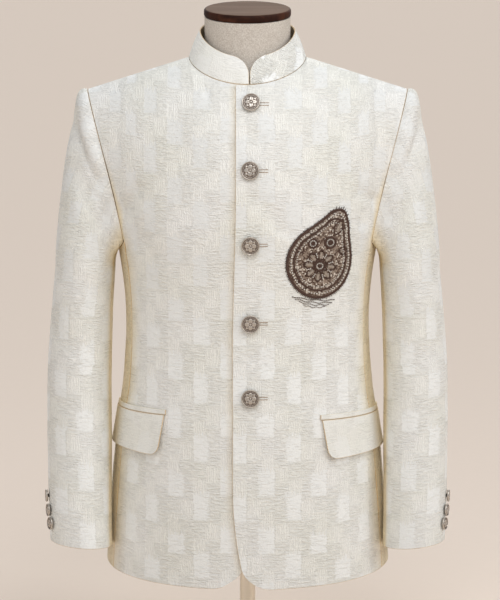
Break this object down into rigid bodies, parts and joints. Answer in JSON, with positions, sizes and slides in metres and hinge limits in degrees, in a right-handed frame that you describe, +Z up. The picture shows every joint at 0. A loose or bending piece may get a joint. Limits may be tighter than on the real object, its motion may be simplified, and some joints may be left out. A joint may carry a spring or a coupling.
{
  "type": "prince coat on a dress form",
  "caption": "Stand-collar buttoned jacket in ivory jacquard with flap pockets and a padded chest motif, on a limbless dress form with a round stand.",
  "frame": {"origin": "centre of the stand's flat underside, which rests on the surface", "axes": "+Z up along the pole, -Y the way the coat faces, +X to the wearer's left"},
  "size_m": [0.5762, 0.28, 0.9211],
  "materials": {
    "jacquard": "ivory self-patterned jacquard with a soft sheen",
    "embroidery": "brown and taupe thread with small silver beads",
    "button_metal": "antique pewter, carved in relief",
    "linen": "greige linen stretched over a hard shell",
    "walnut": "dark glossy lacquer",
    "satin_steel": "satin"
  },
  "bodies": {
    "root": {"front_left": "jacquard", "front_right": "jacquard", "side_left": "jacquard", "side_right": "jacquard", "back_left": "jacquard", "back_right": "jacquard", "sleeve_left_top": "jacquard", "sleeve_left_under": "jacquard", "sleeve_right_top": "jacquard", "sleeve_right_under": "jacquard", "collar": "jacquard", "pocket_flap_left": "jacquard", "pocket_flap_right": "jacquard", "pocket_welt_left": "jacquard", "pocket_welt_right": "jacquard", "chest_motif": "embroidery", "button_front_1": "button_metal", "button_front_2": "button_metal", "button_front_3": "button_metal", "button_front_4": "button_metal", "button_front_5": "button_metal", "button_cuff_left_1": "button_metal", "button_cuff_left_2": "button_metal", "button_cuff_left_3": "button_metal", "button_cuff_right_1": "button_metal", "button_cuff_right_2": "button_metal", "button_cuff_right_3": "button_metal", "form_torso": "linen", "form_neck_cap": "walnut", "stand": "satin_steel"}
  },
  "joints": []
}
